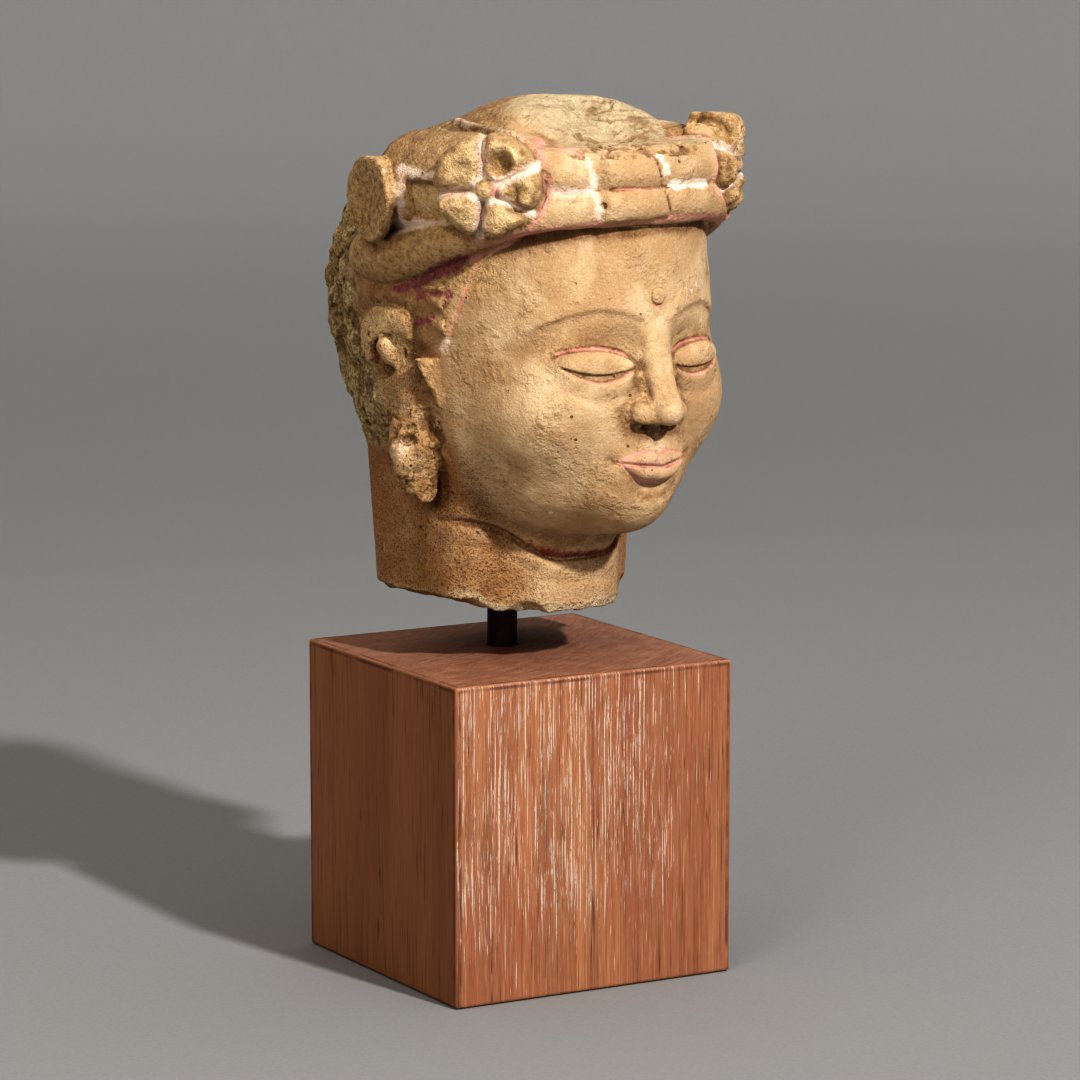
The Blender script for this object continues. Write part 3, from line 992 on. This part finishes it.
    return N.mat


head.data.materials.clear()
head.data.materials.append(terracotta())
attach(head, "root")
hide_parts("head")

# ---------------------------------------------------------------- plinth
side_m, high_m = 0.095, 0.0965


def build_plinth():
    """A block with eased arrises, a little worn, and the blind hole for the post."""
    import bmesh
    bm = bmesh.new()
    bmesh.ops.create_cube(bm, size=1.0)
    for v in bm.verts:
        v.co = Vector((v.co.x * side_m, v.co.y * side_m, (v.co.z + 0.5) * high_m))
    bmesh.ops.bevel(bm, geom=list(bm.edges), offset=0.0012, segments=4, profile=0.6, affect="EDGES")
    me = bpy.data.meshes.new("plinth_block")
    bm.to_mesh(me)
    bm.free()
    ob = bpy.data.objects.new("plinth_block", me)
    bpy.context.scene.collection.objects.link(ob)
    return ob


plinth = build_plinth()
cut = bpy.data.meshes.new("cut")
import bmesh
bm = bmesh.new()
bmesh.ops.create_cone(bm, cap_ends=True, segments=64, radius1=0.005, radius2=0.005, depth=0.06)
for v in bm.verts:
    v.co += Vector((0.0, 0.0095, 0.0565 + 0.03))
bm.to_mesh(cut)
bm.free()
cutter = bpy.data.objects.new("cut", cut)
bpy.context.scene.collection.objects.link(cutter)
mod = plinth.modifiers.new("hole", "BOOLEAN")
mod.operation = "DIFFERENCE"
mod.object = cutter
mod.solver = "EXACT"
applied(plinth)
bpy.data.objects.remove(cutter)
for poly in plinth.data.polygons:
    poly.use_smooth = True
plinth.data.set_sharp_from_angle(angle=math.radians(40))


def wood():
    N = Nodes("plinth_mahogany")
    geo = N.t.nodes.new("ShaderNodeNewGeometry")
    sep = N.t.nodes.new("ShaderNodeSeparateXYZ")
    N.put(sep.inputs[0], geo.outputs["Normal"])
    pos = N.t.nodes.new("ShaderNodeSeparateXYZ")
    N.put(pos.inputs[0], N.obj)
    top = N.step(0.6, 0.85, N.math("ABSOLUTE", sep.outputs[2]))
    side = N.math("SUBTRACT", 1.0, top)

    def along(k, shift=(0, 0, 0)):
        return N.mapping(scale=(1.0, 1.0, k), location=shift)
    # fibres run up the block
    fibre = N.noise(0.00055, 4, 0.7, vector=along(0.02))
    grain = N.noise(0.0022, 4, 0.6, vector=along(0.03, (0.2, 0.4, 0)))
    band = N.noise(0.011, 3, 0.5, vector=along(0.07), distortion=0.3)
    wide = N.noise(0.026, 2, 0.5, vector=along(0.2, (0.3, 0.7, 0)))
    col = N.mix(N.step(0.36, 0.66, band), srgb(148, 106, 80), srgb(162, 119, 89))
    seen = N.math("ADD", 0.35, N.math("MULTIPLY", N.step(0.3, 0.8, N.math("MULTIPLY", sep.outputs[1], -1.0)), 0.65))
    col = N.mix(N.math("MULTIPLY", N.step(0.44, 0.62, wide, 0.0, 0.42), seen), col, srgb(132, 88, 70))
    red = N.noise(0.0021, 3, 0.65, vector=along(0.022, (0.1, 0.6, 0)))
    col = N.mix(N.math("MULTIPLY", N.step(0.50, 0.62, red, 0.0, 0.42), seen), col, srgb(150, 88, 66))
    col = N.mix(N.math("MULTIPLY", N.step(0.52, 0.66, N.noise(0.00045, 3, 0.65, vector=along(0.03, (0.6, 0.2, 0))), 0.0, 0.34), seen), col, srgb(196, 156, 124))
    col = N.mix(N.math("MULTIPLY", N.step(0.50, 0.70, grain, 0.0, 0.42), seen), col, srgb(116, 72, 54))
    col = N.mix(N.math("MULTIPLY", N.step(0.50, 0.66, fibre, 0.0, 0.42), seen), col, srgb(102, 62, 46))
    col = N.mix(N.step(0.3, 0.8, N.math("MULTIPLY", sep.outputs[0], -1.0), 0.0, 0.35), col, srgb(122, 84, 56))
    # limed pores: thin pale lines broken into dashes, in clusters
    front = N.step(0.3, 0.8, N.math("MULTIPLY", sep.outputs[1], -1.0))
    fade = N.step(0.000, 0.040, pos.outputs[2], 0.62, 1.0)
    left = N.step(0.014, 0.044, pos.outputs[0], 1.0, 0.55)
    dense = N.math("MULTIPLY", N.math("MULTIPLY", fade, left), N.math("ADD", N.math("MULTIPLY", front, 0.78), 0.22))
    patch = N.noise(0.0085, 3, 0.6, vector=along(0.22, (0.3, 0.1, 0.2)))
    shift = N.math("MULTIPLY", N.math("SUBTRACT", patch, 0.5), 0.42)
    shift = N.math("ADD", shift, N.math("MULTIPLY", N.math("SUBTRACT", dense, 0.86), 0.62))
    run = N.math("ADD", N.math("ADD", pos.outputs[0], pos.outputs[1]), N.math("MULTIPLY", N.noise(0.030, 2, 0.5, vector=along(0.6)), 0.0022))

    def streaks(cell, seed, wide, longest, level):
        """Thin tapering dashes, one to a cell, running up the block."""
        u = N.math("ADD", N.math("MULTIPLY", run, 1.0 / cell), seed * 7.3 + 400)
        row, frac = N.math("FLOOR", u), N.math("FRACT", u)
        rnd = N.t.nodes.new("ShaderNodeTexWhiteNoise")
        rnd.noise_dimensions = "1D"
        N.put(rnd.inputs["W"], row)
        at = N.t.nodes.new("ShaderNodeCombineXYZ")
        N.put(at.inputs[0], N.math("MULTIPLY", row, 3.71))
        N.put(at.inputs[1], N.math("MULTIPLY", pos.outputs[2], 1.0 / longest))
        at.inputs[2].default_value = seed
        dash = N.t.nodes.new("ShaderNodeTexNoise")
        dash.inputs["Scale"].default_value = 1.0
        dash.inputs["Detail"].default_value = 2.0
        dash.inputs["Roughness"].default_value = 0.55
        N.put(dash.inputs["Vector"], at.outputs[0])
        on = N.math("ADD", N.math("MULTIPLY", N.math("SUBTRACT", dash.outputs[0], level), 2.0), shift)
        half = N.math("MULTIPLY", N.step(-0.02, 0.30, on), wide)
        gap = N.math("ABSOLUTE", N.math("SUBTRACT", frac, N.math("ADD", 0.3, N.math("MULTIPLY", rnd.outputs["Value"], 0.4))))
        return N.step(0.55, 1.1, N.math("DIVIDE", gap, N.math("ADD", half, 0.002)), 1.0, 0.0)
    lines = N.math("MAXIMUM", N.math("MAXIMUM", streaks(0.00072, 1.0, 0.25, 0.013, 0.575), streaks(0.0011, 2.0, 0.19, 0.024, 0.545)),
                   N.math("MAXIMUM", streaks(0.0017, 3.0, 0.14, 0.038, 0.525), streaks(0.00050, 4.0, 0.28, 0.006, 0.61)))
    lines = N.math("MULTIPLY", lines, N.step(0.36, 0.46, N.noise(0.00060, 2, 0.6, vector=along(0.35)), 0.35, 1.0))
    lines = N.math("MULTIPLY", lines, side)
    pale = N.mix(N.step(0.4, 0.6, N.noise(0.004, 2, 0.5, vector=along(0.2))), srgb(200, 178, 162), srgb(188, 178, 172))
    col = N.mix(N.math("MULTIPLY", lines, 0.80), col, pale)
    # open pores and dark slivers beside them
    slit = N.noise(0.0011, 1, 0.4, vector=along(0.014, (0.9, 0.5, 0.2)))
    slit = N.step(0.006, 0.018, N.math("ABSOLUTE", N.math("SUBTRACT", slit, 0.5)), 1.0, 0.0)
    slit = N.math("MULTIPLY", slit, N.step(0.5, 0.62, N.noise(0.0016, 2, 0.5, vector=along(0.09, (0.3, 0.3, 0.3)))))
    slit = N.math("MULTIPLY", slit, side)
    col = N.mix(N.math("MULTIPLY", slit, 0.6), col, srgb(58, 32, 26))
    # end grain on top: faint rings and pore dots
    cx, cy = N.math("ADD", pos.outputs[0], 0.10), N.math("SUBTRACT", pos.outputs[1], 0.15)
    rad = N.math("SQRT", N.math("ADD", N.math("MULTIPLY", cx, cx), N.math("MULTIPLY", cy, cy)))
    turn = N.math("ARCTAN2", cy, cx)
    polar = N.t.nodes.new("ShaderNodeCombineXYZ")
    N.put(polar.inputs[0], N.math("MULTIPLY", rad, 900.0))
    N.put(polar.inputs[1], N.math("MULTIPLY", turn, 14.0))
    arcs = N.t.nodes.new("ShaderNodeTexNoise")
    arcs.inputs["Scale"].default_value = 0.9
    arcs.inputs["Detail"].default_value = 4.0
    arcs.inputs["Roughness"].default_value = 0.65
    N.put(arcs.inputs["Vector"], polar.outputs[0])
    flat = N.mapping(scale=(1, 1, 0))
    end = N.mix(N.step(0.3, 0.7, N.noise(0.008, 3, 0.5, vector=flat)), srgb(136, 101, 84), srgb(150, 115, 96))
    end = N.mix(N.step(0.50, 0.68, arcs.outputs[0], 0.0, 0.5), end, srgb(116, 72, 54))
    end = N.mix(N.step(0.34, 0.46, arcs.outputs[0], 0.45, 0.0), end, srgb(184, 138, 112))
    dots = N.voronoi(0.00075, vector=flat)
    end = N.mix(N.step(0.12, 0.30, dots.outputs["Distance"], 0.6, 0.0), end, srgb(92, 52, 42))
    end = N.mix(N.step(0.52, 0.70, N.noise(0.0007, 3, 0.6, vector=flat), 0.0, 0.45), end, srgb(188, 144, 122))
    col = N.mix(top, col, end)
    # worn arrises: a pale rub with a dark line behind it
    ex = N.math("SUBTRACT", side_m / 2, N.math("ABSOLUTE", pos.outputs[0]))
    ey = N.math("SUBTRACT", side_m / 2, N.math("ABSOLUTE", pos.outputs[1]))
    ez = N.math("SUBTRACT", high_m, pos.outputs[2])
    corner = N.math("MINIMUM", N.math("MAXIMUM", ex, ey), N.math("MINIMUM", N.math("MAXIMUM", ex, ez), N.math("MAXIMUM", ey, ez)))
    rub = N.noise(0.011, 4, 0.6)
    edge = N.step(0.0002, 0.0010, corner, 1.0, 0.0)
    behind = N.step(0.0005, 0.0011, corner, 0.0, 1.0)
    behind = N.math("MULTIPLY", behind, N.step(0.0014, 0.0021, corner, 1.0, 0.0))
    col = N.mix(N.math("MULTIPLY", behind, N.step(0.40, 0.6, rub, 0.15, 0.6)), col, srgb(74, 42, 34))
    col = N.mix(N.math("MULTIPLY", edge, N.step(0.42, 0.64, rub, 0.0, 0.25)), col, srgb(180, 134, 110))
    N.put(N.bsdf.inputs["Base Color"], col)
    N.put(N.bsdf.inputs["Roughness"], N.step(0.3, 0.7, fibre, 0.52, 0.70))
    N.bsdf.inputs["Specular IOR Level"].default_value = 0.35
    h = N.math("ADD", N.math("MULTIPLY", fibre, 0.5), N.math("MULTIPLY", grain, 0.5))
    h = N.math("SUBTRACT", h, N.math("MULTIPLY", lines, 0.35))
    h = N.math("SUBTRACT", h, N.math("MULTIPLY", slit, 0.8))
    N.put(N.bsdf.inputs["Normal"], N.bump(h, 0.00015, 0.8))
    return N.mat


plinth.data.materials.clear()
plinth.data.materials.append(wood())
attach(plinth, "root")
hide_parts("plinth")


def steel():
    N = Nodes("post_dark_steel")
    n = N.noise(0.002, 4, 0.6)
    N.put(N.bsdf.inputs["Base Color"], N.mix(N.step(0.35, 0.7, n), srgb(38, 28, 25), srgb(58, 42, 36)))
    N.put(N.bsdf.inputs["Roughness"], N.step(0.3, 0.7, N.noise(0.0008, 3, 0.6), 0.42, 0.6))
    N.bsdf.inputs["Metallic"].default_value = 0.3
    N.put(N.bsdf.inputs["Normal"], N.bump(N.noise(0.0006, 3, 0.6), 0.00004, 0.5))
    return N.mat


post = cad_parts["post"]
post.data.materials.clear()
post.data.materials.append(steel())

# ---------------------------------------------------------------- studio
def backdrop():
    """Plain grey paper, a little paler where it rises far behind the piece."""
    N = Nodes("floor_grey")
    pos = N.t.nodes.new("ShaderNodeSeparateXYZ")
    N.put(pos.inputs[0], N.obj)
    r = N.math("SQRT", N.math("ADD", N.math("MULTIPLY", pos.outputs[0], pos.outputs[0]), N.math("MULTIPLY", pos.outputs[1], pos.outputs[1])))
    col = N.mix(N.step(0.35, 1.1, r), srgb(140, 141, 143), srgb(138, 140, 142))
    col = N.mix(N.step(0.8, 3.2, r), col, srgb(172, 174, 177))
    grit = N.noise(0.0012, 3, 0.6)
    col = N.mix(N.step(0.4, 0.7, grit, 0.0, 0.10), col, srgb(90, 89, 88))
    N.put(N.bsdf.inputs["Base Color"], col)
    N.bsdf.inputs["Roughness"].default_value = 0.9
    N.bsdf.inputs["Specular IOR Level"].default_value = 0.2
    N.put(N.bsdf.inputs["Normal"], N.bump(grit, 0.0001, 0.3))
    return N.mat


def sweep(flat, bend, high, sides=96):
    """A round studio sweep: a flat floor that curves up into a wall all the way round."""
    profile = [(0.0, 0.0)] + [(flat * k / 6, 0.0) for k in range(1, 7)]
    profile += [(flat + bend * math.sin(math.pi / 2 * k / 24), bend * (1 - math.cos(math.pi / 2 * k / 24))) for k in range(1, 25)]
    profile.append((flat + bend, high))
    pts, faces = [(0.0, 0.0, -0.0002)], []
    for r, z in profile[1:]:
        pts += [(r * math.cos(2 * math.pi * i / sides), r * math.sin(2 * math.pi * i / sides), z - 0.0002) for i in range(sides)]
    for i in range(sides):
        j = (i + 1) % sides
        faces.append((0, 1 + i, 1 + j))
        for k in range(len(profile) - 2):
            a, b = 1 + k * sides, 1 + (k + 1) * sides
            faces.append((a + i, b + i, b + j, a + j))
    me = bpy.data.meshes.new("floor")
    me.from_pydata(pts, [], faces)
    for poly in me.polygons:
        poly.use_smooth = True
    ob = bpy.data.objects.new("floor", me)
    bpy.context.scene.collection.objects.link(ob)
    return ob


floor = sweep(2.2, 3.2, 4.2)
floor.data.materials.append(backdrop())
cam_az, cam_el = math.radians(-29.68), math.radians(8.96)


def area(name, loc, target, size, power, colour=(1, 1, 1)):
    L = bpy.data.lights.new(name, "AREA")
    L.shape = "DISK"
    L.size = size
    L.energy = power
    L.color = colour
    ob = bpy.data.objects.new(name, L)
    ob.location = loc
    ob.rotation_mode = "QUATERNION"
    ob.rotation_quaternion = (Vector(target) - Vector(loc)).to_track_quat("-Z", "Y")
    ob.visible_camera = False
    bpy.context.scene.collection.objects.link(ob)
    return ob


back = Vector((math.sin(cam_az) * math.cos(cam_el), -math.cos(cam_az) * math.cos(cam_el), math.sin(cam_el)))
target = Vector((0.0060, -0.0034, 0.13013))
key_az, key_el = math.radians(-81.0), math.radians(35.0)
key_dir = Vector((math.cos(key_az) * math.cos(key_el), math.sin(key_az) * math.cos(key_el), math.sin(key_el)))
area("key", target + key_dir * 3.6, target, 0.20, 104, (1.0, 0.985, 0.96))
area("fill", target + Vector((-1.7, -1.2, 1.1)), target, 1.2, 14.0, (1.0, 0.90, 0.74))
area("top", target + Vector((0.1, 0.3, 2.0)), target, 1.8, 3, (1.0, 0.96, 0.91))
world = bpy.data.worlds.new("studio")
bpy.context.scene.world = world
world.use_nodes = True
world.node_tree.nodes["Background"].inputs[0].default_value = (1.0, 0.94, 0.87, 1)
world.node_tree.nodes["Background"].inputs[1].default_value = 0.50

cam = bpy.data.cameras.new("camera")
cam.sensor_fit = "AUTO"
cam.sensor_width = 36.0
cam.lens = 36.0 * 4624.0 / 1080.0
cam.clip_start, cam.clip_end = 0.01, 50
cam_ob = bpy.data.objects.new("camera", cam)
cam_ob.location = target + back * 1.4078
cam_ob.rotation_mode = "QUATERNION"
cam_ob.rotation_quaternion = (-back).to_track_quat("-Z", "Y")
bpy.context.scene.collection.objects.link(cam_ob)
bpy.context.scene.camera = cam_ob
bpy.context.scene.view_settings.view_transform = "Standard"
bpy.context.scene.view_settings.look = "Very High Contrast"
